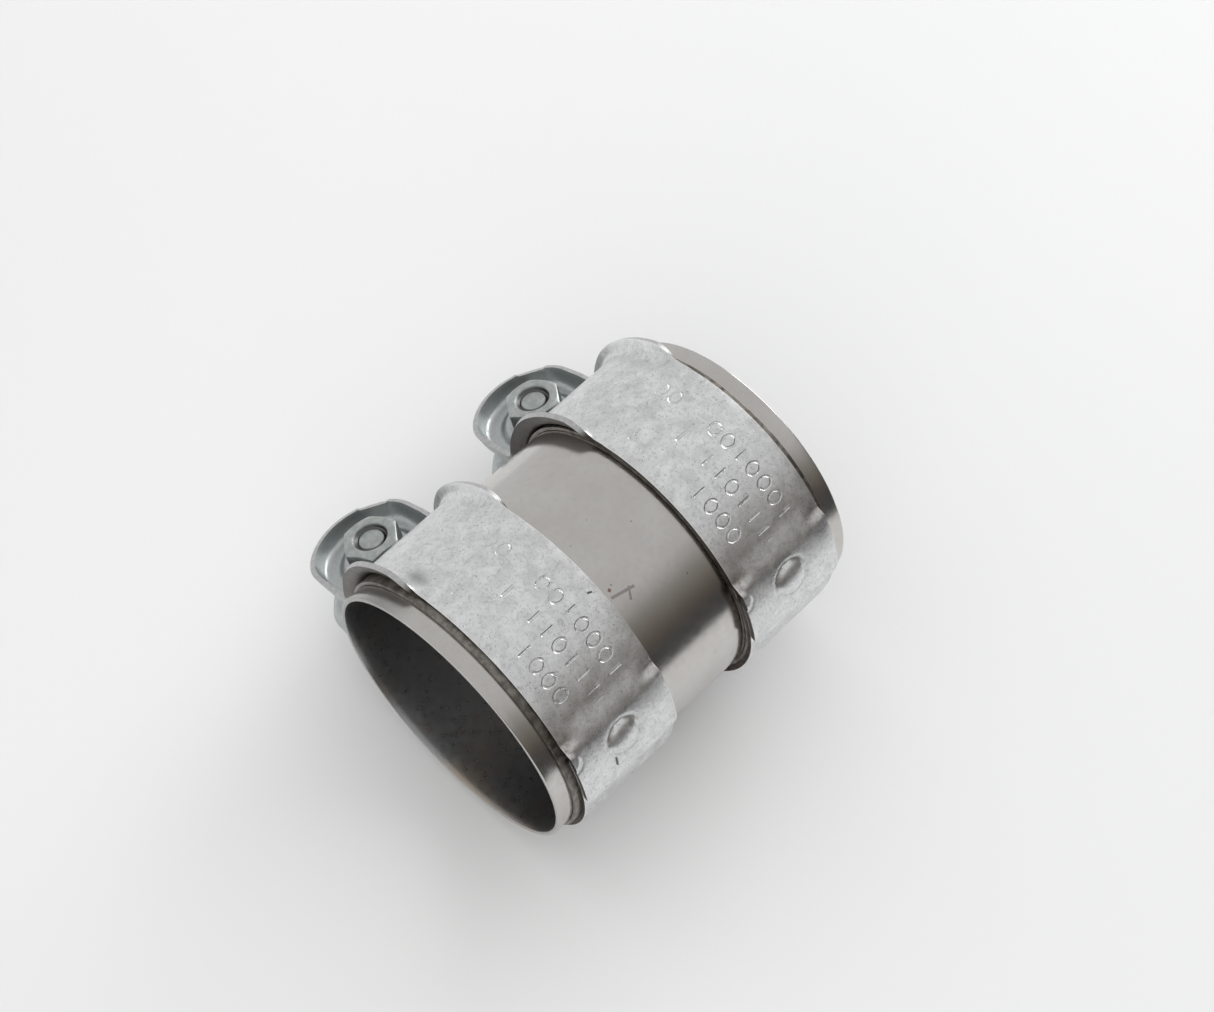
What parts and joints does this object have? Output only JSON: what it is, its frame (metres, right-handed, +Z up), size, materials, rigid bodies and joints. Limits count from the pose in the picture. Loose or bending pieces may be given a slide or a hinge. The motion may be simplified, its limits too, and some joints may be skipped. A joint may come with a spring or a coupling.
{
  "type": "tube sleeve connector with band clamps",
  "caption": "Round steel sleeve that joins two tube ends, closed by wide band clamps with cupped ears, a bolt and a nut.",
  "frame": {"origin": "middle of the sleeve's bore, on its axis", "axes": "+Y along the bore from the front clamp to the rear clamp; +Z up with the part lying at rest on its strap flanges and bolt heads; the ears point to -X and lean down"},
  "size_m": [0.1014, 0.095, 0.0785],
  "materials": {
    "stainless": "thin stainless sheet, mill finish, faint rolling lines",
    "zinc_strap": "zinc-coated steel strip, satin, mottled, with bright pressed edges",
    "liner_steel": "thin steel strip, dull",
    "zinc_fastener": "dull zinc-plated M8 fastener"
  },
  "bodies": {
    "root": {"sleeve": "stainless", "front_nut_side_strap": "zinc_strap", "front_bolt_side_strap": "zinc_strap", "front_liner_ring": "liner_steel", "rear_nut_side_strap": "zinc_strap", "rear_bolt_side_strap": "zinc_strap", "rear_liner_ring": "liner_steel"},
    "front_nut": {"front_nut": "zinc_fastener"},
    "front_bolt": {"front_bolt": "zinc_fastener"},
    "rear_nut": {"rear_nut": "zinc_fastener"},
    "rear_bolt": {"rear_bolt": "zinc_fastener"}
  },
  "joints": [
    {"name": "front_nut_turn", "type": "hinge", "parent": "root", "child": "front_nut", "pos_m": [-0.047, -0.0272, -0.00586], "axis": [0.3304, 0, -0.9438], "range_deg": [-1728, 2851.2]},
    {"name": "front_bolt_draw", "type": "slide", "parent": "root", "child": "front_bolt", "axis": [-0.3304, 0, 0.9438], "range_m": [-0.0061, 0.01]},
    {"name": "rear_nut_turn", "type": "hinge", "parent": "root", "child": "rear_nut", "pos_m": [-0.047, 0.0272, -0.00586], "axis": [0.3304, 0, -0.9438], "range_deg": [-1728, 2851.2]},
    {"name": "rear_bolt_draw", "type": "slide", "parent": "root", "child": "rear_bolt", "axis": [-0.3304, 0, 0.9438], "range_m": [-0.0061, 0.01]}
  ],
  "couplings": [
    {"joint": "front_bolt_draw", "follows": "front_nut_turn", "m_per_rad": 0.00019894},
    {"joint": "rear_bolt_draw", "follows": "rear_nut_turn", "m_per_rad": 0.00019894}
  ]
}
